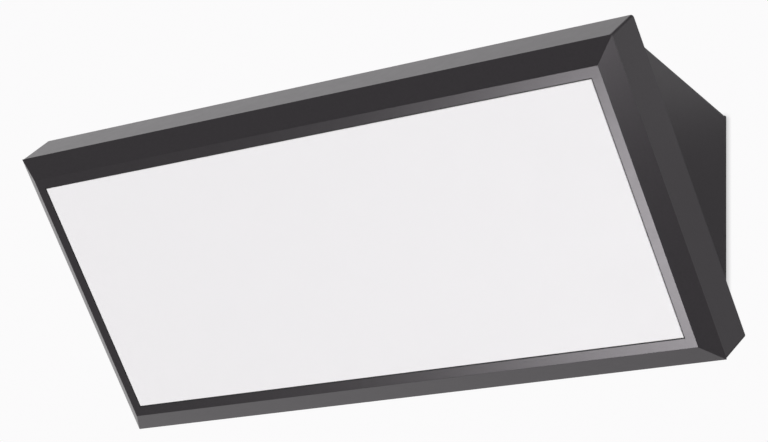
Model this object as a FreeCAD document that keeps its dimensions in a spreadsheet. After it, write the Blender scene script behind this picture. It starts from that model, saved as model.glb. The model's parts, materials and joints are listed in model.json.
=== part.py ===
import FreeCAD, Part
import math
import os
import re
import Sketcher

# A rectangular outdoor wall light, in millimetres.
# Origin: middle of the fixing slots, on the wall. +Z is up, +X is to the right for someone facing the light,
# and the light stands out from the wall towards -Y.
#
# The front face leans, and its own two directions are used throughout:
#   u  up along the face, from its centre
#   n  out of the face, from the plane of the frame's outer rim

SIZES = {
    # How the face stands to the wall
    "tilt": 40.5,
    "face_out": 50.6,
    "face_drop": 7.8,
    # Front frame
    "rim_width": 250.0,
    "rim_height": 113.2,
    "band_depth": 16.0,
    "band_draft": 0.3,
    "band_wall": 2.5,
    "bevel_side": 5.75,
    "bevel_end": 7.5,
    "lip_rise": 4.5,
    "lip_side": 3.45,
    "lip_end": 3.55,
    "lip_thick": 2.2,
    "shoulder": 0.5,
    "seat_width": 238.0,
    "seat_height": 100.4,
    "corner_round": 1.0,
    "edge_round": 0.3,
    # Diffuser and its seals
    "diffuser_gap": 0.4,
    "diffuser_proud": 0.1,
    "diffuser_thick": 2.5,
    "diffuser_skirt": 2.5,
    "diffuser_flange": 2.0,
    "flange_play": 0.3,
    "seal_play": 0.03,
    "seal_sunk": 0.15,
    "gasket_front": 2.7,
    "gasket_width": 241.6,
    "gasket_height": 102.4,
    "gasket_inner_width": 232.0,
    "gasket_inner_height": 97.6,
    # Rear housing
    "housing_front": 3.0,
    "seam": 0.3,
    "rim_block_width": 243.2,
    "rim_block_top": 51.7,
    "rim_block_low": 51.9,
    "body_width": 250.4,
    "body_top": 46.8,
    "housing_inner_width": 230.0,
    "housing_inner_height": 96.6,
    "inner_step": 43.6,
    "step_front": 13.7,
    "back_half_width": 117.6,
    "back_half": 37.2,
    "wall_foam": 1.0,
    "foam_inset": 0.6,
    "recess_half_width": 114.5,
    "recess_half": 34.4,
    "recess_depth": 12.0,
    "rear_wall_out": 14.5,
    "chamber_top": 34.4,
    "floor_front": 17.0,
    "floor_back": 19.5,
    "body_round": 1.5,
    # Door hinge and door screws
    "hinge_up": 50.5,
    "hinge_back": 20.0,
    "hinge_place": 70.0,
    "lug_width": 8.0,
    "ear_width": 4.0,
    "ear_gap": 0.4,
    "ear_reach": 6.4,
    "knuckle_radius": 2.4,
    "hinge_pin_radius": 1.25,
    "hinge_play": 0.05,
    "door_screw_place": 70.0,
    "door_screw_back": 10.5,
    "door_screw_radius": 1.9,
    "door_screw_tip": 47.6,
    "door_screw_head": 3.5,
    "door_screw_rise": 2.0,
    "door_washer": 0.6,
    "door_washer_gap": 0.6,
    "notch_width": 4.6,
    # Wall bracket
    "plate": 1.5,
    "bracket_width": 150.0,
    "bracket_top": 31.0,
    "bracket_low": 24.5,
    "slot_place": 45.0,
    "slot_length": 14.0,
    "slot_width": 5.2,
    "window_width": 44.0,
    "window_height": 30.0,
    "entry_up": 2.0,
    "tab_place": 60.0,
    "tab_width": 16.0,
    "tab_length": 11.0,
    "tab_hole_out": 7.0,
    "hook_place": 50.0,
    "hook_width": 18.0,
    "hook_length": 8.0,
    "hook_height": 5.9,
    "ledge_width": 14.0,
    "ledge_under": 18.5,
    "ledge_thick": 2.5,
    "ledge_lip_low": 22.0,
    "ledge_lip_thick": 3.0,
    "bracket_screw_radius": 1.9,
    "bracket_screw_length": 11.0,
    "bracket_washer_radius": 4.4,
    "large_screw_head": 3.6,
    "large_screw_rise": 2.2,
    "large_screw_recess": 2.5,
    "top_flat": 37.2,
    "top_flat_radius": 4.8,
    # Cable gland
    "gland_radius": 6.0,
    "gland_bore": 4.5,
    "gland_seal_bore": 3.5,
    "gland_hex": 16.0,
    "gland_flange": 2.5,
    "gland_nut_hex": 15.0,
    "gland_nut_out": 3.5,
    "gland_nut_back": 8.5,
    "gland_nut_bore": 3.9,
    "gland_stub_end": 20.0,
    "gland_play": 0.1,
    "gland_washer_radius": 8.5,
    "locknut_thick": 3.0,
    "washer_thick": 0.8,
    # Light source
    "tray_width": 224.0,
    "tray_low": 46.0,
    "tray_high": 42.0,
    "tray_sheet": 1.2,
    "tray_base": 14.3,
    "tray_edge": 4.5,
    "post_radius": 4.0,
    "post_side": 100.0,
    "post_low": 41.5,
    "post_high": 37.6,
    "post_root": 28.0,
    "board_width": 190.0,
    "board_height": 64.0,
    "board_thick": 1.6,
    "pad_thick": 0.3,
    "board_screw_side": 90.0,
    "board_screw_up": 29.0,
    "chip_long": 3.5,
    "chip_short": 2.8,
    "chip_thick": 0.8,
    "chip_pitch": 15.5,
    "chip_row_pitch": 15.0,
    "small_screw_radius": 1.4,
    "small_screw_head": 2.7,
    "small_screw_rise": 1.8,
    "small_screw_recess": 2.0,
    "small_hole_radius": 1.6,
    "connector_place": 91.0,
    "connector_long": 6.0,
    "connector_wide": 8.0,
    "connector_tall": 4.0,
    # Leads and wires
    "lead_radius": 0.9,
    "lead_spread": 1.4,
    "lead_up": 6.6,
    "lead_start": 38.0,
    "lead_side": 105.4,
    "lead_front": 10.6,
    "grommet_hole": 4.0,
    "grommet_lip": 1.2,
    "wire_radius": 1.1,
    "wire_bend": 3.0,
    "wire_out": 22.5,
    # Driver
    "driver_centre": 58.0,
    "driver_long": 80.0,
    "driver_low": 2.0,
    "driver_high": 33.0,
    "driver_back": 16.5,
    "driver_split": 30.5,
    "driver_front": 34.0,
    "driver_shell": 1.5,
    "driver_ear": 7.0,
    "driver_screw_place": 43.5,
    "driver_ear_height": 12.0,
    "boss_radius": 3.5,
    "transformer_coil": 14.0,
    "transformer_core": 19.0,
    "transformer_tall": 10.0,
    "transformer_core_tall": 6.0,
    "capacitor_place": 22.0,
    "capacitor_tall": 10.5,
    # Terminal block and earth point
    "terminal_place": 41.0,
    "terminal_pitch": 10.0,
    "terminal_low": 4.0,
    "terminal_high": 22.0,
    "terminal_front": 30.0,
    "terminal_screw_radius": 2.0,
    "terminal_screw_spread": 4.5,
    "terminal_screw_long": 4.5,
    "terminal_screw_sunk": 1.4,
    "terminal_slot": 0.7,
    "earth_place": 85.0,
    "earth_up": 10.0,
    "earth_boss": 21.0,
    "earth_boss_radius": 4.5,
    "lug_radius": 4.2,
    "lug_thick": 1.0,
    "lug_tongue": 4.0,
    "thread_play": 0.05,
}

doc = FreeCAD.newDocument("wall_light")
sheet = doc.addObject("Spreadsheet::Sheet", "Sizes")
for row, (alias, value) in enumerate(SIZES.items(), start=1):
    sheet.set(f"A{row}", alias)
    sheet.set(f"B{row}", str(value))
    sheet.setAlias(f"B{row}", alias)
doc.recompute()

CHIP_COLUMNS = 12
CHIP_ROWS = 4
BOTH_SIDES = (-1, 1)
THREE_ACROSS = (-1, 0, 1)
nodes = []


def bound(text):
    """The expression with every size's name pointed at the sheet."""
    return re.sub(r"[a-z_]+", lambda word: "Sizes." + word[0] if word[0] in SIZES else word[0], str(text))


def size(alias):
    return float(sheet.get(alias))


# Points and planes


def face_point(u, n):
    """Expressions for the Y and Z of a point of the leaning face's own frame."""
    y = f"-face_out - ({u}) * sin(tilt) - ({n}) * cos(tilt)"
    z = f"-face_drop + ({u}) * cos(tilt) - ({n}) * sin(tilt)"
    return y, z


def face_point_at_height(z, n):
    """The point at height z of the plane that is parallel to the face, n in front of its rim."""
    return face_point(f"(({z}) + face_drop + ({n}) * sin(tilt)) / cos(tilt)", n)


def face_point_at_depth(out, n):
    """The point of that plane at a distance out from the wall."""
    return face_point(f"(({out}) - face_out - ({n}) * cos(tilt)) / sin(tilt)", n)


def plane(facing, start):
    """Angle about X and the Y and Z of a sketch plane. Its normal points out of the wall, up, out of the
    leaning face, or up along that face."""
    if facing == "wall":
        return "90", f"-({start})", "0"
    if facing == "level":
        return "0", "0", f"{start}"
    if facing == "face":
        return "90 + tilt", *face_point("0", start)
    return "tilt", *face_point(start, "0")


# Outlines, each a list of corner points or a circle


def polygon(*points):
    return {"points": points}


def rectangle(x, y, width, height):
    left, right = f"({x}) - ({width}) / 2", f"({x}) + ({width}) / 2"
    low, high = f"({y}) - ({height}) / 2", f"({y}) + ({height}) / 2"
    return polygon((left, low), (right, low), (right, high), (left, high))


def circle(x, y, radius):
    return {"centre": (x, y), "radius": radius}


def hexagon(x, y, across_flats):
    corner = f"({across_flats}) / (2 * cos(30))"
    return polygon(*[(f"({x}) + {corner} * cos({turn})", f"({y}) + {corner} * sin({turn})")
                     for turn in range(0, 360, 60)])


def fix_point(sketch, geometry, end, point):
    for kind, value in zip(("DistanceX", "DistanceY"), point):
        index = sketch.addConstraint(Sketcher.Constraint(kind, -1, 1, geometry, end, 1.0))
        sketch.setExpression(f"Constraints[{index}]", bound(value))


def draw(sketch, outline):
    """Add one closed outline to the sketch, with every size bound to the sheet."""
    if "radius" in outline:
        geometry = sketch.addGeometry(Part.Circle(FreeCAD.Vector(0, 0, 0), FreeCAD.Vector(0, 0, 1), 1))
        fix_point(sketch, geometry, 3, outline["centre"])
        index = sketch.addConstraint(Sketcher.Constraint("Radius", geometry, 1.0))
        sketch.setExpression(f"Constraints[{index}]", bound(outline["radius"]))
        return
    corners = len(outline["points"])
    turn = 2 * math.pi / corners
    start = [FreeCAD.Vector(math.cos(turn * i), math.sin(turn * i), 0) for i in range(corners)]
    lines = [sketch.addGeometry(Part.LineSegment(start[i], start[(i + 1) % corners])) for i in range(corners)]
    for i, line in enumerate(lines):
        sketch.addConstraint(Sketcher.Constraint("Coincident", line, 2, lines[(i + 1) % corners], 1))
    for line, point in zip(lines, outline["points"]):
        fix_point(sketch, line, 1, point)


# Features


def body(name):
    part = doc.addObject("PartDesign::Body", name)
    part.Label = name
    nodes.append(part)
    return part


def origin_plane(part, role):
    return next(item for item in part.Origin.OriginFeatures if item.Role == role)


def sketch_on(part, facing, start, outlines):
    sketch = part.newObject("Sketcher::SketchObject", part.Name + "_sketch")
    sketch.MapMode = "FlatFace"
    if facing == "side":
        sketch.AttachmentSupport = [(origin_plane(part, "YZ_Plane"), "")]
        sketch.setExpression("AttachmentOffset.Base.z", bound(start))
    else:
        angle, y, z = plane(facing, start)
        sketch.AttachmentSupport = [(origin_plane(part, "XY_Plane"), "")]
        about_x = FreeCAD.Rotation(FreeCAD.Vector(1, 0, 0), 1)
        sketch.AttachmentOffset = FreeCAD.Placement(FreeCAD.Vector(), about_x)
        sketch.setExpression("AttachmentOffset.Rotation.Angle", bound(angle))
        sketch.setExpression("AttachmentOffset.Base.y", bound(y))
        sketch.setExpression("AttachmentOffset.Base.z", bound(z))
    for outline in outlines:
        draw(sketch, outline)
    return sketch


def feature(part, kind, facing, start, length, outlines, symmetric):
    item = part.newObject("PartDesign::" + kind, part.Name + "_" + kind.lower())
    item.Profile = sketch_on(part, facing, start, outlines)
    item.setExpression("Length", bound(length))
    if symmetric:
        item.SideType = "Symmetric"
    item.Reversed = kind == "Pocket" and not symmetric
    return item


def add(part, facing, start, length, *outlines, symmetric=False):
    """Add material from the plane at start, along its normal."""
    return feature(part, "Pad", facing, start, length, outlines, symmetric)


def cut(part, facing, start, length, *outlines, symmetric=False):
    """Take material away from the plane at start, along its normal."""
    return feature(part, "Pocket", facing, start, length, outlines, symmetric)


def round_edges(part, radius, wanted):
    """Round the edges of the body so far whose middle point passes the test."""
    doc.recompute()
    base = part.Tip
    names = []
    for index, edge in enumerate(base.Shape.Edges, start=1):
        middle = edge.valueAt((edge.FirstParameter + edge.LastParameter) / 2)
        if wanted(middle, edge):
            names.append(f"Edge{index}")
    fillet = part.newObject("PartDesign::Fillet", part.Name + "_fillet")
    fillet.Base = (base, names)
    fillet.setExpression("Radius", bound(radius))
    return fillet


def face_height(point):
    """How far a point stands in front of the plane of the frame's rim."""
    lean = math.radians(size("tilt"))
    return -(point.y + size("face_out")) * math.cos(lean) - (point.z + size("face_drop")) * math.sin(lean)


def loft(part, start, outline, end, end_outline):
    """Straight walls between an outline on one plane of the leaning face and an outline on another."""
    item = part.newObject("PartDesign::AdditiveLoft", part.Name + "_loft")
    item.Profile = sketch_on(part, "face", start, [outline])
    item.Sections = [sketch_on(part, "face", end, [end_outline])]
    item.Ruled = True
    return item


def mirrored(place):
    return [f"{side} * {place}" for side in BOTH_SIDES]


def screws(name, facing, places, seat, head_radius, head_rise, shank_radius, shank_length, recess):
    """A group of like screws. The shank runs back from the seat plane and the head stands on it."""
    group = body(name)
    add(group, facing, f"{seat} - {shank_length}", shank_length,
        *[circle(x, y, shank_radius) for x, y in places])
    add(group, facing, seat, head_rise, *[circle(x, y, head_radius) for x, y in places])
    cut(group, facing, f"{seat} + {head_rise} * 0.4", head_rise, *[hexagon(x, y, recess) for x, y in places])
    return group


def tube(name, points, radius, bend):
    """A round wire along straight runs with an arc at each corner."""
    path = [FreeCAD.Vector(*point) for point in points]
    edges = []
    start = path[0]
    for before, corner, after in zip(path, path[1:], path[2:]):
        way_in = (corner - before).normalize()
        way_out = (after - corner).normalize()
        half_turn = way_in.getAngle(way_out) / 2
        reach = bend * math.tan(half_turn)
        arc_start = corner - way_in * reach
        arc_end = corner + way_out * reach
        to_centre = (way_out - way_in).normalize()
        middle = corner + to_centre * (bend / math.cos(half_turn) - bend)
        edges.append(Part.LineSegment(start, arc_start).toShape())
        edges.append(Part.Arc(arc_start, middle, arc_end).toShape())
        start = arc_end
    edges.append(Part.LineSegment(start, path[-1]).toShape())
    spine = Part.Wire(edges)
    section = Part.Wire(Part.makeCircle(radius, path[0], path[1] - path[0]))
    wire = doc.addObject("Part::Feature", name)
    wire.Label = name
    wire.Shape = spine.makePipeShell([section], True, False)
    nodes.append(wire)
    return wire


# Front frame: a mitred ring with a deep band, a bevel that rises inwards and a narrow flat lip

opening_width = "(rim_width - 2 * bevel_side - 2 * lip_side)"
opening_height = "(rim_height - 2 * bevel_end - 2 * lip_end)"
seat_top = "(lip_rise - lip_thick)"

front_frame = body("front_frame")
rim = ("0", "0", "rim_width", "rim_height")
back_rim = ("0", "0", "rim_width + 2 * band_draft", "rim_height + 2 * band_draft")
loft(front_frame, "-band_depth", rectangle(*back_rim), "0", rectangle(*rim))
round_edges(front_frame, "corner_round",
            lambda middle, edge: abs(face_height(middle) + size("band_depth") / 2) < 1)
loft(front_frame, "0", rectangle(*rim),
     "lip_rise", rectangle("0", "0", "rim_width - 2 * bevel_side", "rim_height - 2 * bevel_end"))
round_edges(front_frame, "edge_round", lambda middle, edge: face_height(middle) > 0.5)
cut(front_frame, "face", "-1", "lip_rise + 2", rectangle("0", "0", opening_width, opening_height))
cut(front_frame, "face", "-band_depth - 1", "band_depth + 1 - shoulder",
    rectangle("0", "0", "rim_width - 2 * band_wall", "rim_height - 2 * band_wall"))
cut(front_frame, "face", "-shoulder - 0.1", f"shoulder + 0.1 + {seat_top}",
    rectangle("0", "0", "seat_width", "seat_height"))

# Hinge lugs behind the frame's upper edge, and open notches in the lower band for the door screws
lug_toe = ("rim_height / 2 - band_wall + 0.2", "-band_depth + 0.5")
lug_heel = ("rim_height / 2 - 0.2", "-band_depth + 0.5")
hinge_line = face_point("hinge_up", "-hinge_back")
for place in mirrored("hinge_place"):
    lug_side = f"{place} - lug_width / 2"
    add(front_frame, "side", lug_side, "lug_width", polygon(
        face_point(*lug_toe),
        face_point(*lug_heel),
        face_point("hinge_up + knuckle_radius * 0.82", "-hinge_back - knuckle_radius * 0.57"),
        face_point("hinge_up - knuckle_radius * 0.82", "-hinge_back + knuckle_radius * 0.57")))
    add(front_frame, "side", lug_side, "lug_width", circle(*hinge_line, "knuckle_radius"))
    cut(front_frame, "side", f"{lug_side} - 1", "lug_width + 2",
        circle(*hinge_line, "hinge_pin_radius + hinge_play"))
notch_start = "-rim_height / 2 - 1"
notch_mid = "(band_depth + 1 + door_screw_back) / 2"
for place in mirrored("door_screw_place"):
    cut(front_frame, "edge", notch_start, "band_wall + 1.5",
        rectangle(place, notch_mid, "notch_width", "band_depth + 1 - door_screw_back"))
    cut(front_frame, "edge", notch_start, "band_wall + 1.5",
        circle(place, "door_screw_back", "notch_width / 2"))

# Diffuser: a dished opal panel with a flange behind the lip

panel_width = f"({opening_width} - 2 * diffuser_gap)"
panel_height = f"({opening_height} - 2 * diffuser_gap)"
flange_width = "(seat_width - 2 * flange_play)"
flange_height = "(seat_height - 2 * flange_play)"
panel_face = "(lip_rise + diffuser_proud)"
flange_face = "(diffuser_flange - shoulder)"

diffuser = body("diffuser")
add(diffuser, "face", "0", panel_face, rectangle("0", "0", panel_width, panel_height))
round_edges(diffuser, "edge_round", lambda middle, edge: face_height(middle) > size("lip_rise"))
add(diffuser, "face", "-shoulder", "diffuser_flange", rectangle("0", "0", flange_width, flange_height))
cut(diffuser, "face", "-shoulder - 1", f"shoulder + 1 + {panel_face} - diffuser_thick",
    rectangle("0", "0", f"{panel_width} - 2 * diffuser_skirt", f"{panel_height} - 2 * diffuser_skirt"))


def ring(name, start, length, outer, inner):
    part = body(name)
    add(part, "face", start, length, rectangle("0", "0", *outer), rectangle("0", "0", *inner))
    return part


# The diffuser's seal lies on its flange and stands up in the gap round the panel
seal_inner = (f"{panel_width} + 2 * seal_play", f"{panel_height} + 2 * seal_play")
diffuser_seal = ring("diffuser_seal", flange_face, f"{seat_top} - {flange_face}",
                     (flange_width, flange_height), seal_inner)
add(diffuser_seal, "face", flange_face, f"lip_rise - seal_sunk - {flange_face}",
    rectangle("0", "0", f"{opening_width} - 2 * seal_play", f"{opening_height} - 2 * seal_play"),
    rectangle("0", "0", *seal_inner))
ring("frame_gasket", "-gasket_front", "gasket_front - shoulder",
     ("gasket_width", "gasket_height"), ("gasket_inner_width", "gasket_inner_height"))

# Rear housing: a wedge from the wall to a rim inside the frame's band, hollow in front and recessed behind

rim_mid = "(rim_block_top - rim_block_low) / 2"
rim_tall = "(rim_block_top + rim_block_low)"
body_front = "-band_depth - seam"
body_front_top = face_point("body_top", body_front)

rear_housing = body("rear_housing")
add(rear_housing, "side", "0", "body_width", polygon(
    body_front_top,
    ("-wall_foam", "back_half"),
    ("-wall_foam", "-back_half"),
    face_point("-rim_block_low", body_front)), symmetric=True)
for side in BOTH_SIDES:
    cut(rear_housing, "level", "-100", "200", polygon(
        (f"{side} * back_half_width", "-wall_foam"),
        (f"{side} * body_width / 2", body_front_top[0]),
        (f"{side} * (body_width / 2 + 5)", body_front_top[0]),
        (f"{side} * (body_width / 2 + 5)", "5"),
        (f"{side} * back_half_width", "5")))
round_edges(rear_housing, "body_round",
            lambda middle, edge: middle.z > size("back_half") - 0.1 and (
                abs(middle.x) > size("back_half_width") or middle.y > -size("wall_foam") - 0.1))
add(rear_housing, "face", body_front, "band_depth + seam - housing_front",
    rectangle("0", rim_mid, "rim_block_width", rim_tall))
cut(rear_housing, "face", "-floor_front", "floor_front",
    polygon(("-housing_inner_width / 2", "-housing_inner_height / 2"),
            ("housing_inner_width / 2", "-housing_inner_height / 2"),
            ("housing_inner_width / 2", "inner_step"),
            ("-housing_inner_width / 2", "inner_step")))
cut(rear_housing, "face", "-step_front", "step_front",
    rectangle("0", "0", "housing_inner_width", "housing_inner_height"))
cut(rear_housing, "side", "0", "housing_inner_width", polygon(
    face_point("inner_step", "-band_depth"),
    ("-rear_wall_out", "chamber_top"),
    face_point_at_depth("rear_wall_out", "-floor_front")), symmetric=True)
cut(rear_housing, "side", "0", "2 * recess_half_width", polygon(
    ("1", "recess_half"),
    ("1", "-recess_half"),
    face_point_at_height("-recess_half", "-floor_back"),
    face_point_at_depth("recess_depth", "-floor_back"),
    ("-recess_depth", "recess_half")), symmetric=True)

# Posts for the light source's tray. The upper ones run into the top wall and are trimmed to its outer face.
tray_screw_places = [(f"{side} * post_side", height)
                     for side in THREE_ACROSS for height in ("-post_low", "post_high")]
for x, y in tray_screw_places:
    root = "floor_front + 0.2" if "low" in y else "post_root"
    add(rear_housing, "face", f"-({root})", f"{root} - tray_base - tray_sheet", circle(x, y, "post_radius"))
    cut(rear_housing, "face", "-tray_base - tray_sheet - 3.4", "4",
        circle(x, y, "small_screw_radius + thread_play"))
cut(rear_housing, "side", "0", "2 * post_side + 20", polygon(
    body_front_top,
    (body_front_top[0], f"{body_front_top[1]} + 15"),
    ("-wall_foam", "back_half + 15"),
    ("-wall_foam", "back_half")), symmetric=True)

# Ledges that hang on the bracket's hooks
for place in mirrored("hook_place"):
    add(rear_housing, "wall", "plate + 1", "recess_depth - plate - 0.9",
        rectangle(place, "-ledge_under + ledge_thick / 2", "ledge_width", "ledge_thick"))
    add(rear_housing, "level", "-ledge_lip_low", "ledge_lip_low - ledge_under + ledge_thick",
        rectangle(place, "-plate - 1 - ledge_lip_thick / 2", "ledge_width", "ledge_lip_thick"))

# Hinge ears on the top wall
ear_half = "knuckle_radius * 0.707"
ear_leg = "ear_reach * 0.707"
for place in mirrored("hinge_place"):
    for side in BOTH_SIDES:
        ear_side = f"{place} + {side} * (lug_width / 2 + ear_gap + ear_width / 2) - ear_width / 2"
        add(rear_housing, "side", ear_side, "ear_width", polygon(
            face_point(f"hinge_up + {ear_half}", f"-hinge_back + {ear_half}"),
            face_point(f"hinge_up - {ear_half}", f"-hinge_back - {ear_half}"),
            face_point(f"hinge_up - {ear_half} - {ear_leg}", f"-hinge_back - {ear_half} + {ear_leg}"),
            face_point(f"hinge_up + {ear_half} - {ear_leg}", f"-hinge_back + {ear_half} + {ear_leg}")))
        add(rear_housing, "side", ear_side, "ear_width", circle(*hinge_line, "knuckle_radius"))
        cut(rear_housing, "side", f"{ear_side} - 0.1", "ear_width + 0.2",
            circle(*hinge_line, "hinge_pin_radius + 0.02"))

# Screw holes and bosses
gland_centre = ("0", "entry_up")
bracket_screw_places = [(place, "-tab_hole_out") for place in mirrored("tab_place")]
door_screw_places = [(place, "door_screw_back") for place in mirrored("door_screw_place")]
driver_screw_places = [(f"-driver_centre + {place}", "(driver_low + driver_high) / 2")
                       for place in mirrored("driver_screw_place")]
terminal_gap_places = [(f"terminal_place + {place}", "(terminal_low + terminal_high) / 2")
                       for place in mirrored("terminal_pitch / 2")]
earth_centre = ("earth_place", "earth_up")
cut(rear_housing, "level", "back_half - 8", "12",
    *[circle(x, y, "bracket_screw_radius + 0.3") for x, y in bracket_screw_places])
cut(rear_housing, "level", "top_flat", "5",
    *[circle(x, y, "top_flat_radius") for x, y in bracket_screw_places])
cut(rear_housing, "wall", "recess_depth - 1", "rear_wall_out - recess_depth + 2",
    circle(*gland_centre, "gland_radius + gland_play"))
cut(rear_housing, "edge", "-rim_block_low - 1", "5.5",
    *[circle(x, y, "door_screw_radius + thread_play") for x, y in door_screw_places])
for x, y in driver_screw_places:
    add(rear_housing, "wall", "rear_wall_out - 0.2", "driver_back - rear_wall_out + 0.2",
        circle(x, y, "boss_radius"))
    cut(rear_housing, "wall", "driver_back - 3.5", "4", circle(x, y, "small_screw_radius + thread_play"))
for x, y in terminal_gap_places:
    cut(rear_housing, "wall", "rear_wall_out - 1.8", "2", circle(x, y, "small_screw_radius + thread_play"))
add(rear_housing, "wall", "rear_wall_out - 0.2", "earth_boss - rear_wall_out + 0.2",
    circle(*earth_centre, "earth_boss_radius"))
cut(rear_housing, "wall", "earth_boss - 7", "8", circle(*earth_centre, "door_screw_radius + thread_play"))

# Hinge pins, door screws and their washers

pin_reach = "(lug_width / 2 + ear_gap + ear_width + 0.5)"
hinge_pins = body("hinge_pins")
for place in mirrored("hinge_place"):
    add(hinge_pins, "side", f"{place} - {pin_reach}", f"2 * {pin_reach}",
        circle(*hinge_line, "hinge_pin_radius"))

door_screws = body("door_screws")
head_top = "(-rim_height / 2 - door_washer_gap - door_washer)"
add(door_screws, "edge", head_top, f"-door_screw_tip - {head_top}",
    *[circle(x, y, "door_screw_radius") for x, y in door_screw_places])
add(door_screws, "edge", f"{head_top} - door_screw_rise", "door_screw_rise",
    *[circle(x, y, "door_screw_head") for x, y in door_screw_places])
cut(door_screws, "edge", f"{head_top} - door_screw_rise", "door_screw_rise * 0.6",
    *[hexagon(x, y, "large_screw_recess") for x, y in door_screw_places])
door_screw_washers = body("door_screw_washers")
for x, y in door_screw_places:
    add(door_screw_washers, "edge", head_top, "door_washer",
        circle(x, y, "door_screw_head + 0.6"), circle(x, y, "door_screw_radius + 0.2"))

# Wall bracket with its slots, cable window, top tabs and bottom hooks, and the foam strip behind the housing

wall_bracket = body("wall_bracket")
add(wall_bracket, "wall", "0", "plate",
    rectangle("0", "(bracket_top - bracket_low) / 2", "bracket_width", "bracket_top + bracket_low"))
cut(wall_bracket, "wall", "-1", "plate + 2", rectangle(*gland_centre, "window_width", "window_height"))
for place in mirrored("slot_place"):
    cut(wall_bracket, "wall", "-1", "plate + 2",
        rectangle(place, "0", "slot_length - slot_width", "slot_width"))
    for end in BOTH_SIDES:
        cut(wall_bracket, "wall", "-1", "plate + 2",
            circle(f"{place} + {end} * (slot_length - slot_width) / 2", "0", "slot_width / 2"))
for place in mirrored("tab_place"):
    add(wall_bracket, "wall", "0", "tab_length",
        rectangle(place, "bracket_top - plate / 2", "tab_width", "plate"))
cut(wall_bracket, "level", "bracket_top - plate - 1", "plate + 2",
    *[circle(x, y, "bracket_screw_radius + thread_play") for x, y in bracket_screw_places])
for place in mirrored("hook_place"):
    add(wall_bracket, "wall", "0", "hook_length",
        rectangle(place, "-bracket_low + plate / 2", "hook_width", "plate"))
    add(wall_bracket, "level", "-bracket_low", "hook_height",
        rectangle(place, "-hook_length + plate / 2", "hook_width", "plate"))

wall_gasket = body("wall_gasket")
add(wall_gasket, "wall", "0", "wall_foam",
    rectangle("0", "0", "2 * back_half_width - foam_inset", "2 * back_half - foam_inset"),
    rectangle("0", "0", "2 * recess_half_width - foam_inset", "2 * recess_half - foam_inset"))

screws("bracket_screws", "level", bracket_screw_places, "top_flat + washer_thick", "large_screw_head",
       "large_screw_rise", "bracket_screw_radius", "bracket_screw_length", "large_screw_recess")
bracket_screw_washers = body("bracket_screw_washers")
for x, y in bracket_screw_places:
    add(bracket_screw_washers, "level", "top_flat", "washer_thick",
        circle(x, y, "bracket_washer_radius"), circle(x, y, "bracket_screw_radius + 0.1"))

# Cable gland through the rear wall, with its mouth towards the wall

flange_back = "(recess_depth - washer_thick)"
gland_washer = body("gland_washer")
add(gland_washer, "wall", flange_back, "washer_thick",
    circle(*gland_centre, "gland_washer_radius"), circle(*gland_centre, "gland_radius + gland_play"))
gland_body = body("gland_body")
add(gland_body, "wall", f"{flange_back} - gland_flange", "gland_flange", hexagon(*gland_centre, "gland_hex"))
add(gland_body, "wall", flange_back, f"gland_stub_end - {flange_back}", circle(*gland_centre, "gland_radius"))
add(gland_body, "wall", "gland_nut_out + 1.5", f"{flange_back} - gland_nut_out - 1.5",
    circle(*gland_centre, "gland_radius"))
cut(gland_body, "wall", "0", "gland_stub_end + 1", circle(*gland_centre, "gland_bore"))
gland_nut = body("gland_nut")
add(gland_nut, "wall", "gland_nut_out", "gland_nut_back - gland_nut_out",
    hexagon(*gland_centre, "gland_nut_hex"))
cut(gland_nut, "wall", "gland_nut_out + 1.2", "gland_nut_back",
    circle(*gland_centre, "gland_radius + gland_play"))
cut(gland_nut, "wall", "gland_nut_out - 1", "3", circle(*gland_centre, "gland_nut_bore"))
gland_seal = body("gland_seal")
add(gland_seal, "wall", "gland_nut_out + 1.3", f"{flange_back} - gland_nut_out",
    circle(*gland_centre, "gland_bore - 0.02"), circle(*gland_centre, "gland_seal_bore"))
gland_locknut = body("gland_locknut")
add(gland_locknut, "wall", "rear_wall_out", "locknut_thick", hexagon(*gland_centre, "gland_hex"))
cut(gland_locknut, "wall", "rear_wall_out - 1", "locknut_thick + 2",
    circle(*gland_centre, "gland_radius + gland_play"))

# LED tray, thermal pad, board, LEDs and their fasteners

led_tray = body("led_tray")
tray_mid = "(tray_high - tray_low) / 2"
add(led_tray, "face", "-tray_base - tray_sheet", "tray_base + tray_sheet - tray_edge",
    rectangle("0", tray_mid, "tray_width", "tray_high + tray_low"))
cut(led_tray, "face", "-tray_base", "tray_base",
    rectangle("0", tray_mid, "tray_width - 2 * tray_sheet", "tray_high + tray_low - 2 * tray_sheet"))
board_screw_places = [(f"{side} * board_screw_side", f"{end} * board_screw_up")
                      for side in THREE_ACROSS for end in BOTH_SIDES]
cut(led_tray, "face", "-tray_base - tray_sheet - 1", "tray_sheet + 2",
    *[circle(x, y, "small_hole_radius") for x, y in tray_screw_places])
cut(led_tray, "face", "-tray_base - tray_sheet - 1", "tray_sheet + 2",
    *[circle(x, y, "small_screw_radius + thread_play") for x, y in board_screw_places])
grommet_centre = ("-lead_side", "lead_up")
cut(led_tray, "face", "-tray_base - tray_sheet - 1", "tray_sheet + 2",
    circle(*grommet_centre, "grommet_hole"))
screws("led_tray_screws", "face", tray_screw_places, "-tray_base", "small_screw_head", "small_screw_rise",
       "small_screw_radius", "(tray_sheet + 3)", "small_screw_recess")

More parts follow.
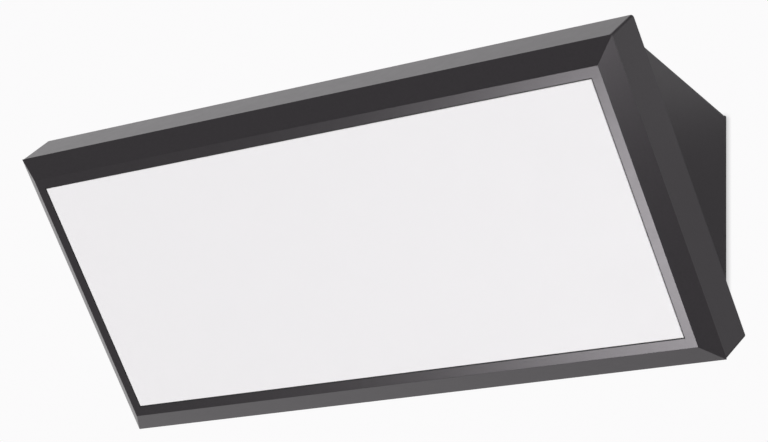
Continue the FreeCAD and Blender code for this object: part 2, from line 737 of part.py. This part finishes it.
thermal_pad = body("thermal_pad")
add(thermal_pad, "face", "-tray_base", "pad_thick", rectangle("0", "0", "board_width", "board_height"))
cut(thermal_pad, "face", "-tray_base - 1", "3",
    *[circle(x, y, "small_hole_radius") for x, y in board_screw_places])
led_board = body("led_board")
add(led_board, "face", "-tray_base + pad_thick", "board_thick",
    rectangle("0", "0", "board_width", "board_height"))
cut(led_board, "face", "-tray_base - 1", "5",
    *[circle(x, y, "small_hole_radius") for x, y in board_screw_places])
board_top = "(-tray_base + pad_thick + board_thick)"
screws("led_board_screws", "face", board_screw_places, board_top, "small_screw_head", "small_screw_rise",
       "small_screw_radius", "(board_thick + pad_thick + tray_sheet + 1.2)", "small_screw_recess")

led_chips = body("led_chips")
first_column = f"-chip_pitch * {(CHIP_COLUMNS - 1) / 2}"
row_places = [f"chip_row_pitch * {row - (CHIP_ROWS - 1) / 2}" for row in range(CHIP_ROWS)]
chip_column = add(led_chips, "face", board_top, "chip_thick",
                  *[rectangle(first_column, row, "chip_long", "chip_short") for row in row_places])
chip_columns = led_chips.newObject("PartDesign::LinearPattern", "led_chips_pattern")
chip_columns.Originals = [chip_column]
chip_columns.Direction = (origin_plane(led_chips, "X_Axis"), [""])
chip_columns.setExpression("Length", bound(f"chip_pitch * {CHIP_COLUMNS - 1}"))
chip_columns.Occurrences = CHIP_COLUMNS
led_chips.Tip = chip_columns

board_connector = body("board_connector")
add(board_connector, "face", board_top, "connector_tall",
    rectangle("-connector_place", "lead_up", "connector_long", "connector_wide"))

tray_grommet = body("tray_grommet")
grommet_back = "-tray_base - tray_sheet - grommet_lip"
add(tray_grommet, "face", grommet_back, "tray_sheet + 2 * grommet_lip",
    circle(*grommet_centre, "grommet_hole - 0.1"), circle(*grommet_centre, "lead_spread + lead_radius + 0.2"))
for start in (grommet_back, "-tray_base"):
    add(tray_grommet, "face", start, "grommet_lip",
        circle(*grommet_centre, "grommet_hole + 1"), circle(*grommet_centre, "grommet_hole - 0.2"))

# Driver: a case and lid with a board, a transformer and capacitors, screwed to the rear wall

driver_mid = ("-driver_centre", "(driver_low + driver_high) / 2")
driver_tall = "(driver_high - driver_low)"
driver_case = body("driver_case")
add(driver_case, "wall", "driver_back", "driver_split - driver_back",
    rectangle(*driver_mid, "driver_long", driver_tall))
cut(driver_case, "wall", "driver_back + driver_shell", "20",
    rectangle(*driver_mid, "driver_long - 2 * driver_shell", f"{driver_tall} - 2 * driver_shell"))
ear_places = [f"-driver_centre + {side} * (driver_long + driver_ear - 0.5) / 2" for side in BOTH_SIDES]
add(driver_case, "wall", "driver_back", "driver_shell",
    *[rectangle(x, driver_mid[1], "driver_ear + 0.5", "driver_ear_height") for x in ear_places])
cut(driver_case, "wall", "driver_back - 1", "4",
    *[circle(x, y, "small_hole_radius") for x, y in driver_screw_places])
driver_lid = body("driver_lid")
add(driver_lid, "wall", "driver_split", "driver_front - driver_split",
    rectangle(*driver_mid, "driver_long", driver_tall))
cut(driver_lid, "wall", "driver_split - 1", "driver_front - driver_split + 1 - driver_shell",
    rectangle(*driver_mid, "driver_long - 2 * driver_shell", f"{driver_tall} - 2 * driver_shell"))
board_back = "(driver_back + driver_shell)"
driver_board = body("driver_board")
add(driver_board, "wall", board_back, "board_thick",
    rectangle(*driver_mid, "driver_long - 2 * driver_shell - 1", f"{driver_tall} - 2 * driver_shell - 1"))
parts_back = f"({board_back} + board_thick)"
driver_transformer = body("driver_transformer")
add(driver_transformer, "wall", parts_back, "transformer_tall",
    rectangle(*driver_mid, "transformer_coil", "transformer_core"))
add(driver_transformer, "wall", f"{parts_back} + (transformer_tall - transformer_core_tall) / 2",
    "transformer_core_tall", rectangle(*driver_mid, "transformer_core", "transformer_coil"))
driver_capacitors = body("driver_capacitors")
add(driver_capacitors, "wall", parts_back, "capacitor_tall",
    circle("-driver_centre - capacitor_place", "driver_low + 10", "5"),
    circle("-driver_centre - capacitor_place", "driver_low + 22", "4"),
    circle("-driver_centre + capacitor_place", "driver_low + 11", "4"))
screws("driver_screws", "wall", driver_screw_places, "driver_back + driver_shell", "small_screw_head",
       "small_screw_rise", "small_screw_radius", "(driver_shell + 3.2)", "small_screw_recess")

# Terminal block, its clamp screws and fixing screws

terminal_tall = "(terminal_high - terminal_low)"
terminal_mid = "(terminal_low + terminal_high) / 2"
pole_places = [f"terminal_place + {step} * terminal_pitch" for step in THREE_ACROSS]
clamp_places = [(x, f"{terminal_mid} + {side} * terminal_screw_spread")
                for x in pole_places for side in BOTH_SIDES]
terminal_block = body("terminal_block")
add(terminal_block, "wall", "rear_wall_out", "terminal_front - rear_wall_out - 4",
    rectangle("terminal_place", terminal_mid, "3 * terminal_pitch", terminal_tall))
add(terminal_block, "wall", "rear_wall_out", "terminal_front - rear_wall_out",
    *[rectangle(x, terminal_mid, "terminal_pitch - 3", f"{terminal_tall} - 3") for x in pole_places])
cut(terminal_block, "wall", "terminal_front - 6", "8",
    *[circle(x, y, "terminal_screw_radius + 0.1") for x, y in clamp_places])
cut(terminal_block, "level", "terminal_low - 1", f"{terminal_tall} + 2",
    *[circle(x, "-wire_out", "wire_radius + 0.1") for x in pole_places])
cut(terminal_block, "wall", "rear_wall_out - 1", "20",
    *[circle(x, y, "small_hole_radius") for x, y in terminal_gap_places])
cut(terminal_block, "wall", "terminal_front - 4", "5",
    *[circle(x, y, "small_screw_head + 0.2") for x, y in terminal_gap_places])
terminal_screws = body("terminal_screws")
screw_front = "(terminal_front - terminal_screw_sunk)"
add(terminal_screws, "wall", f"{screw_front} - terminal_screw_long", "terminal_screw_long",
    *[circle(x, y, "terminal_screw_radius") for x, y in clamp_places])
cut(terminal_screws, "wall", f"{screw_front} - 1", "2",
    *[rectangle(x, y, "2 * terminal_screw_radius + 1", "terminal_slot") for x, y in clamp_places])
screws("terminal_block_screws", "wall", terminal_gap_places, "terminal_front - 4", "small_screw_head",
       "small_screw_rise", "small_screw_radius", "(terminal_front - 4 - rear_wall_out + 1.6)",
       "small_screw_recess")

# Earth point: a lug on a boss, under a screw

earth_lug = body("earth_lug")
add(earth_lug, "wall", "earth_boss", "lug_thick", circle(*earth_centre, "lug_radius"))
add(earth_lug, "wall", "earth_boss", "lug_thick", rectangle("earth_place", "earth_up + 5", "lug_tongue", "6"))
add(earth_lug, "level", "earth_up + 6", "5", circle("earth_place", "-earth_boss - 1.5", "wire_radius + 0.9"))
cut(earth_lug, "level", "earth_up + 5", "8", circle("earth_place", "-earth_boss - 1.5", "wire_radius + 0.05"))
cut(earth_lug, "wall", "earth_boss - 1", "3", circle(*earth_centre, "door_screw_radius + 0.1"))
screws("earth_screw", "wall", [earth_centre], "earth_boss + lug_thick", "large_screw_head",
       "large_screw_rise", "door_screw_radius", "7.5", "large_screw_recess")

doc.recompute()

# Wires at the driver's and the terminal block's height, and the leads from the driver to the LED board


def in_face(x, u, n):
    lean = math.radians(size("tilt"))
    y = -size("face_out") - u * math.sin(lean) - n * math.cos(lean)
    z = -size("face_drop") + u * math.cos(lean) - n * math.sin(lean)
    return x, y, z


wire_y = -size("wire_out")
wire_start = size("terminal_high") - 3
driver_end = -size("driver_centre") + size("driver_long") / 2
pole_x = [size("terminal_place") + step * size("terminal_pitch") for step in THREE_ACROSS]
bend = size("wire_bend")
for name, x, height in (("neutral_wire", pole_x[0], 27.0), ("live_wire", pole_x[1], 30.5)):
    tube(name, [(x, wire_y, wire_start), (x, wire_y, height), (driver_end, wire_y, height)],
         size("wire_radius"), bend)
earth_top = 28.0
earth_end = size("earth_up") + 6.5
tube("earth_wire", [(pole_x[2], wire_y, wire_start), (pole_x[2], wire_y, earth_top),
                    (size("earth_place"), wire_y, earth_top), (size("earth_place"), wire_y, earth_end)],
     size("wire_radius"), bend)
lead_start_x = -size("driver_centre") - size("driver_long") / 2
lead_end_x = -size("connector_place") - size("connector_long") / 2
for name, side in (("led_lead_red", -1), ("led_lead_black", 1)):
    u = size("lead_up") + side * size("lead_spread")
    tube(name, [in_face(lead_start_x, u, -size("lead_start")),
                in_face(-size("lead_side"), u, -size("lead_start")),
                in_face(-size("lead_side"), u, -size("lead_front")),
                in_face(lead_end_x, u, -size("lead_front"))],
         size("lead_radius"), bend)

# Check and write every piece

doc.recompute()
for item in doc.Objects:
    if "Invalid" in item.State or "Error" in item.State:
        raise RuntimeError(f"{item.Name} did not compute: {item.State}")
os.makedirs("parts", exist_ok=True)
for node in nodes:
    if node.Shape.isNull() or not node.Shape.isValid() or not node.Shape.Solids:
        raise RuntimeError(f"{node.Label} has no valid solid")
    node.Shape.exportStep(f"parts/{node.Label}.step")
    print(f"{node.Label}: {len(node.Shape.Solids)} solids, {node.Shape.Volume / 1000:.2f} cm3")
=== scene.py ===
import json
import math

import bpy
from mathutils import Matrix, Quaternion, Vector

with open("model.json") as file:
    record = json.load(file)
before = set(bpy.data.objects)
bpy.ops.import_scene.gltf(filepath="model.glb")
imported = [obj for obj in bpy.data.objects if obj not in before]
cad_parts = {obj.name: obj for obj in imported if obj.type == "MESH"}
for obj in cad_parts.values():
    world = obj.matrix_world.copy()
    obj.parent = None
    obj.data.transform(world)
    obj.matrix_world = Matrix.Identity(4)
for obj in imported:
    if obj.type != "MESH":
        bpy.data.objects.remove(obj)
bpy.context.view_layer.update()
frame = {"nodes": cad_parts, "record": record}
nodes = frame["nodes"]

# The middle of the leaning face
FACE_CENTRE = Vector((0, -0.0506, -0.0078))


# Materials


def linear(level):
    """A display level from 0 to 255 as linear light."""
    share = level / 255
    return share / 12.92 if share <= 0.04045 else ((share + 0.055) / 1.055) ** 2.4


def colour(*levels):
    return (*[linear(level) for level in levels], 1)


class Material:
    """A procedural material: a Principled shader with helpers for its noise and bump nodes."""

    def __init__(self, name, base, roughness, metallic=0.0, coat=0.0):
        self.made = bpy.data.materials.new(name)
        self.made.use_nodes = True
        self.tree = self.made.node_tree
        self.shader = self.tree.nodes["Principled BSDF"]
        self.set("Base Color", base)
        self.set("Roughness", roughness)
        self.set("Metallic", metallic)
        self.set("Coat Weight", coat)
        self.coordinates = self.tree.nodes.new("ShaderNodeTexCoord")

    def set(self, socket, value):
        self.shader.inputs[socket].default_value = value

    def link(self, start, end):
        self.tree.links.new(start, end)

    def noise(self, scale, detail=2.0, stretch=(1, 1, 1)):
        mapping = self.tree.nodes.new("ShaderNodeMapping")
        mapping.inputs["Scale"].default_value = stretch
        texture = self.tree.nodes.new("ShaderNodeTexNoise")
        texture.inputs["Scale"].default_value = scale
        texture.inputs["Detail"].default_value = detail
        self.link(self.coordinates.outputs["Object"], mapping.inputs["Vector"])
        self.link(mapping.outputs["Vector"], texture.inputs["Vector"])
        return texture.outputs["Fac"]

    def ranged(self, value, low, high):
        """The value's middle range stretched to run from low to high."""
        node = self.tree.nodes.new("ShaderNodeMapRange")
        node.inputs["From Min"].default_value = 0.3
        node.inputs["From Max"].default_value = 0.7
        node.inputs["To Min"].default_value = low
        node.inputs["To Max"].default_value = high
        self.link(value, node.inputs["Value"])
        return node.outputs["Result"]

    def vary(self, socket, value, low, high):
        self.link(self.ranged(value, low, high), self.shader.inputs[socket])

    def mix_colour(self, value, dark, light):
        node = self.tree.nodes.new("ShaderNodeMix")
        node.data_type = "RGBA"
        node.inputs[6].default_value = dark
        node.inputs[7].default_value = light
        self.link(self.ranged(value, 0, 1), node.inputs["Factor"])
        self.link(node.outputs[2], self.shader.inputs["Base Color"])

    def bump(self, value, strength, distance):
        node = self.tree.nodes.new("ShaderNodeBump")
        node.inputs["Strength"].default_value = strength
        node.inputs["Distance"].default_value = distance
        self.link(value, node.inputs["Height"])
        self.link(node.outputs["Normal"], self.shader.inputs["Normal"])


def powder_coat():
    paint = Material("graphite_paint", (0.0275, 0.0250, 0.0275, 1), 0.31)
    paint.set("Specular Tint", (1, 0.95, 1, 1))
    grain = paint.noise(1400, 3)
    paint.mix_colour(grain, (0.0255, 0.0232, 0.0255, 1), (0.0295, 0.0268, 0.0295, 1))
    paint.vary("Roughness", paint.noise(300), 0.3, 0.32)
    paint.bump(grain, 0.2, 0.000012)
    return paint.made


def opal():
    plastic = Material("opal_plastic", (0.885, 0.878, 0.885, 1), 0.5)
    plastic.set("Specular IOR Level", 0.1)
    plastic.set("Subsurface Weight", 0.3)
    plastic.set("Subsurface Radius", (0.004, 0.004, 0.004))
    plastic.vary("Roughness", plastic.noise(60), 0.42, 0.5)
    return plastic.made


def plain(name, base, roughness, metallic=0.0, grain=500, bump=0.00002, coat=0.0):
    made = Material(name, base, roughness, metallic, coat)
    texture = made.noise(grain)
    made.vary("Roughness", texture, roughness * 0.85, min(1, roughness * 1.15))
    made.bump(texture, 0.3, bump)
    return made.made


def brushed(name, base, roughness):
    made = Material(name, base, roughness, 1.0)
    lines = made.noise(900, 2, (0.04, 1, 1))
    made.vary("Roughness", lines, roughness * 0.8, roughness * 1.25)
    made.bump(lines, 0.2, 0.00001)
    return made.made


SLOT_MATERIALS = {
    "graphite_paint": powder_coat(),
    "opal_plastic": opal(),
    "black_rubber": plain("black_rubber", colour(28, 28, 28), 0.7),
    "black_foam": plain("black_foam", colour(42, 42, 42), 0.95, grain=1500, bump=0.0001),
    "stainless": brushed("stainless", (0.6, 0.6, 0.59, 1), 0.3),
    "zinc_steel": brushed("zinc_steel", (0.62, 0.63, 0.65, 1), 0.35),
    "white_enamel": plain("white_enamel", (0.84, 0.84, 0.83, 1), 0.4),
    "grey_pad": plain("grey_pad", colour(150, 155, 160), 0.8),
    "led_yellow": plain("led_yellow", (0.8, 0.55, 0.08, 1), 0.25, coat=0.5),
    "white_plastic": plain("white_plastic", (0.75, 0.75, 0.73, 1), 0.5),
    "board_green": plain("board_green", (0.015, 0.12, 0.04, 1), 0.3),
    "transformer_yellow": plain("transformer_yellow", (0.6, 0.42, 0.05, 1), 0.5),
    "capacitor_sleeve": plain("capacitor_sleeve", (0.015, 0.015, 0.03, 1), 0.3),
    "nylon_black": plain("nylon_black", colour(34, 34, 34), 0.5),
    "tinned_brass": brushed("tinned_brass", (0.72, 0.68, 0.55, 1), 0.3),
    "red_wire": plain("red_wire", (0.45, 0.015, 0.015, 1), 0.4),
    "black_wire": plain("black_wire", colour(24, 24, 24), 0.4),
    "brown_wire": plain("brown_wire", (0.14, 0.05, 0.02, 1), 0.4),
    "blue_wire": plain("blue_wire", (0.02, 0.08, 0.4, 1), 0.4),
    "green_wire": plain("green_wire", (0.06, 0.35, 0.03, 1), 0.4),
}
for part in frame["record"]["subparts"]:
    data = nodes[part["node"]].data
    data.materials.clear()
    data.materials.append(SLOT_MATERIALS[part["material_slot"]])

# Floor, backdrop and light, in metres. The wall glows at WALL_GLOW and is darkened to CONTACT_SHADE within
# CONTACT_REACH of the lamp, above the height CONTACT_FOOT. The shade is full where the openness is OPEN_FROM.

WALL_PLACE = 0.0005
WALL_GLOW = 0.965
CONTACT_SHADE = 0.55
CONTACT_REACH = 0.002
CONTACT_FOOT = -0.033
OPEN_FROM = 0.3
SHADE_SAMPLES = 16
FLOOR_HEIGHT = -0.6
REACH = 4.0

# Strengths of the even soft light and of the parts of the room that reflections show
SOFT_LIGHT = 1.05
IN_FRONT = 0.22
BEHIND_MIDDLE = 0.05
BEHIND_LEFT = 1
BEHIND_RIGHT = 0.8


def add_node(tree, kind, **values):
    node = tree.nodes.new(kind)
    for name, value in values.items():
        node.inputs[name].default_value = value
    return node


def one_sided(material):
    """Let the camera see through the material's back."""
    facing = add_node(material.tree, "ShaderNodeNewGeometry")
    clear = add_node(material.tree, "ShaderNodeBsdfTransparent")
    either = add_node(material.tree, "ShaderNodeMixShader")
    material.link(facing.outputs["Backfacing"], either.inputs["Fac"])
    material.link(material.shader.outputs["BSDF"], either.inputs[1])
    material.link(clear.outputs["BSDF"], either.inputs[2])
    material.link(either.outputs["Shader"], material.tree.nodes["Material Output"].inputs["Surface"])
    return material.made


def backdrop(name, corners, material):
    mesh = bpy.data.meshes.new(name)
    mesh.from_pydata(corners, [], [(0, 1, 2, 3)])
    made = bpy.data.objects.new(name, mesh)
    bpy.context.scene.collection.objects.link(made)
    made.data.materials.append(material)
    return made


floor_paint = Material("floor_paint", (0.9, 0.9, 0.9, 1), 0.9)
floor_paint.set("Specular IOR Level", 0)
floor_corners = [(-REACH, -REACH, FLOOR_HEIGHT), (REACH, -REACH, FLOOR_HEIGHT),
                 (REACH, REACH, FLOOR_HEIGHT), (-REACH, REACH, FLOOR_HEIGHT)]
floor = backdrop("floor", floor_corners, one_sided(floor_paint))
floor.visible_glossy = False

# Only the camera sees the wall, so it blocks no light. It glows evenly, apart from the narrow shade beside the
# lamp, and from behind the camera sees through it to the lamp's back.
wall_paint = Material("wall_paint", (0, 0, 0, 1), 1.0)
wall_paint.set("Specular IOR Level", 0)
wall_paint.set("Emission Color", (1, 0.995, 1, 1))
near_lamp = add_node(wall_paint.tree, "ShaderNodeAmbientOcclusion", Distance=CONTACT_REACH)
near_lamp.samples = SHADE_SAMPLES
shade = add_node(wall_paint.tree, "ShaderNodeMapRange",
                 **{"From Min": OPEN_FROM, "From Max": 1.0, "To Min": CONTACT_SHADE, "To Max": WALL_GLOW})
split_place = add_node(wall_paint.tree, "ShaderNodeSeparateXYZ")
below = add_node(wall_paint.tree, "ShaderNodeMath")
below.operation = "LESS_THAN"
below.inputs[1].default_value = CONTACT_FOOT
lightest = add_node(wall_paint.tree, "ShaderNodeMath")
lightest.operation = "MAXIMUM"
wall_paint.link(wall_paint.coordinates.outputs["Object"], split_place.inputs["Vector"])
wall_paint.link(split_place.outputs["Z"], below.inputs[0])
wall_paint.link(near_lamp.outputs["AO"], lightest.inputs[0])
wall_paint.link(below.outputs["Value"], lightest.inputs[1])
wall_paint.link(lightest.outputs["Value"], shade.inputs["Value"])
wall_paint.link(shade.outputs["Result"], wall_paint.shader.inputs["Emission Strength"])
wall_corners = [(-REACH, WALL_PLACE, FLOOR_HEIGHT), (REACH, WALL_PLACE, FLOOR_HEIGHT),
                (REACH, WALL_PLACE, REACH), (-REACH, WALL_PLACE, REACH)]
wall = backdrop("wall", wall_corners, one_sided(wall_paint))
for ray in ("diffuse", "glossy", "transmission", "shadow", "volume_scatter"):
    setattr(wall, "visible_" + ray, False)

world = bpy.data.worlds.new("world")
bpy.context.scene.world = world
world.use_nodes = True
sky = world.node_tree
sky.nodes.clear()


def ramped(value, start, end, low, high):
    """Turn a value that runs from start to end smoothly into one that runs from low to high."""
    node = add_node(sky, "ShaderNodeMapRange",
                    **{"From Min": start, "From Max": end, "To Min": low, "To Max": high})
    node.interpolation_type = "SMOOTHSTEP"
    sky.links.new(value, node.inputs["Value"])
    return node.outputs["Result"]


def combined(operation, *values):
    node = add_node(sky, "ShaderNodeMath")
    node.operation = operation
    for value, socket in zip(values, node.inputs):
        if isinstance(value, (int, float)):
            socket.default_value = value
        else:
            sky.links.new(value, socket)
    return node.outputs["Value"]


# White where the camera sees past the wall, and even soft light on all sides. Reflections show a room that is
# bright behind the lamp, most of all to the left, and dim in front of it.
seen = add_node(sky, "ShaderNodeBackground", Color=(0.97, 0.965, 0.97, 1), Strength=1.0)
soft = add_node(sky, "ShaderNodeBackground", Color=(1, 0.99, 1, 1), Strength=SOFT_LIGHT)
room = add_node(sky, "ShaderNodeBackground", Color=(1, 0.99, 1, 1))
direction = add_node(sky, "ShaderNodeTexCoord")
split = add_node(sky, "ShaderNodeSeparateXYZ")
sky.links.new(direction.outputs["Generated"], split.inputs["Vector"])
behind = ramped(split.outputs["Y"], -0.15, 0.35, 0, 1)
to_left = ramped(split.outputs["X"], 0.15, -0.6, BEHIND_MIDDLE, BEHIND_LEFT)
to_right = ramped(split.outputs["X"], 0.35, 0.7, -IN_FRONT, BEHIND_RIGHT - IN_FRONT)
sky.links.new(combined("MULTIPLY_ADD", behind, combined("ADD", to_left, to_right), IN_FRONT),
              room.inputs["Strength"])
path = add_node(sky, "ShaderNodeLightPath")
room_or_soft = add_node(sky, "ShaderNodeMixShader")
camera_or_rest = add_node(sky, "ShaderNodeMixShader")
output = add_node(sky, "ShaderNodeOutputWorld")
sky.links.new(path.outputs["Is Glossy Ray"], room_or_soft.inputs["Fac"])
sky.links.new(soft.outputs["Background"], room_or_soft.inputs[1])
sky.links.new(room.outputs["Background"], room_or_soft.inputs[2])
sky.links.new(path.outputs["Is Camera Ray"], camera_or_rest.inputs["Fac"])
sky.links.new(room_or_soft.outputs["Shader"], camera_or_rest.inputs[1])
sky.links.new(seen.outputs["Background"], camera_or_rest.inputs[2])
sky.links.new(camera_or_rest.outputs["Shader"], output.inputs["Surface"])


def gleam_card(name, place, target, size, power, roll=0.0):
    """An area light that only reflections show, turned by roll degrees in its own plane."""
    data = bpy.data.lights.new(name, "AREA")
    data.shape = "RECTANGLE"
    data.size, data.size_y = size
    data.energy = power
    lamp = bpy.data.objects.new(name, data)
    lamp.location = place
    lamp.rotation_mode = "QUATERNION"
    aim = (Vector(target) - Vector(place)).to_track_quat("-Z", "Y")
    lamp.rotation_quaternion = aim @ Quaternion((0, 0, 1), math.radians(roll))
    lamp.visible_camera = False
    lamp.visible_diffuse = False
    bpy.context.scene.collection.objects.link(lamp)


# Gleams along the right end of the lip, and on the upper parts of the right bevel and the right end wall
gleam_card("lip_gleam", (-0.07, -0.265, -0.41), (0.119, -0.05, 0), (0.2, 0.22), 1.8, roll=15)
gleam_card("bevel_gleam", (0.31, -0.23, -0.13), (0.122, -0.08, 0.02), (0.08, 0.08), 0.12)
gleam_card("end_gleam", (0.205, 0.2, 0.16), (0.122, -0.03, 0.04), (0.08, 0.08), 0.01)

# Camera: a long lens from the lower right, placed in widths of the rim

RIM_WIDTH = 0.25
LENS_PIXELS = 2387.15
PICTURE_WIDTH = 768
SENSOR_WIDTH = 36
EYE = FACE_CENTRE + RIM_WIDTH * Vector((1.916, -2.488, -0.903))
RIGHT = Vector((0.80754, 0.58835, 0.04149))
UP = Vector((0.13864, -0.25772, 0.95622))
FORWARD = Vector((-0.57329, 0.76643, 0.28969))
lens = bpy.data.cameras.new("camera")
lens.sensor_width = SENSOR_WIDTH
lens.lens = LENS_PIXELS / PICTURE_WIDTH * SENSOR_WIDTH
camera = bpy.data.objects.new("camera", lens)
bpy.context.scene.collection.objects.link(camera)
turn = Matrix((RIGHT, UP, -FORWARD)).transposed()
camera.rotation_mode = "QUATERNION"
camera.rotation_quaternion = turn.to_quaternion()
camera.location = EYE
bpy.context.scene.camera = camera
bpy.context.scene.view_settings.view_transform = "Standard"
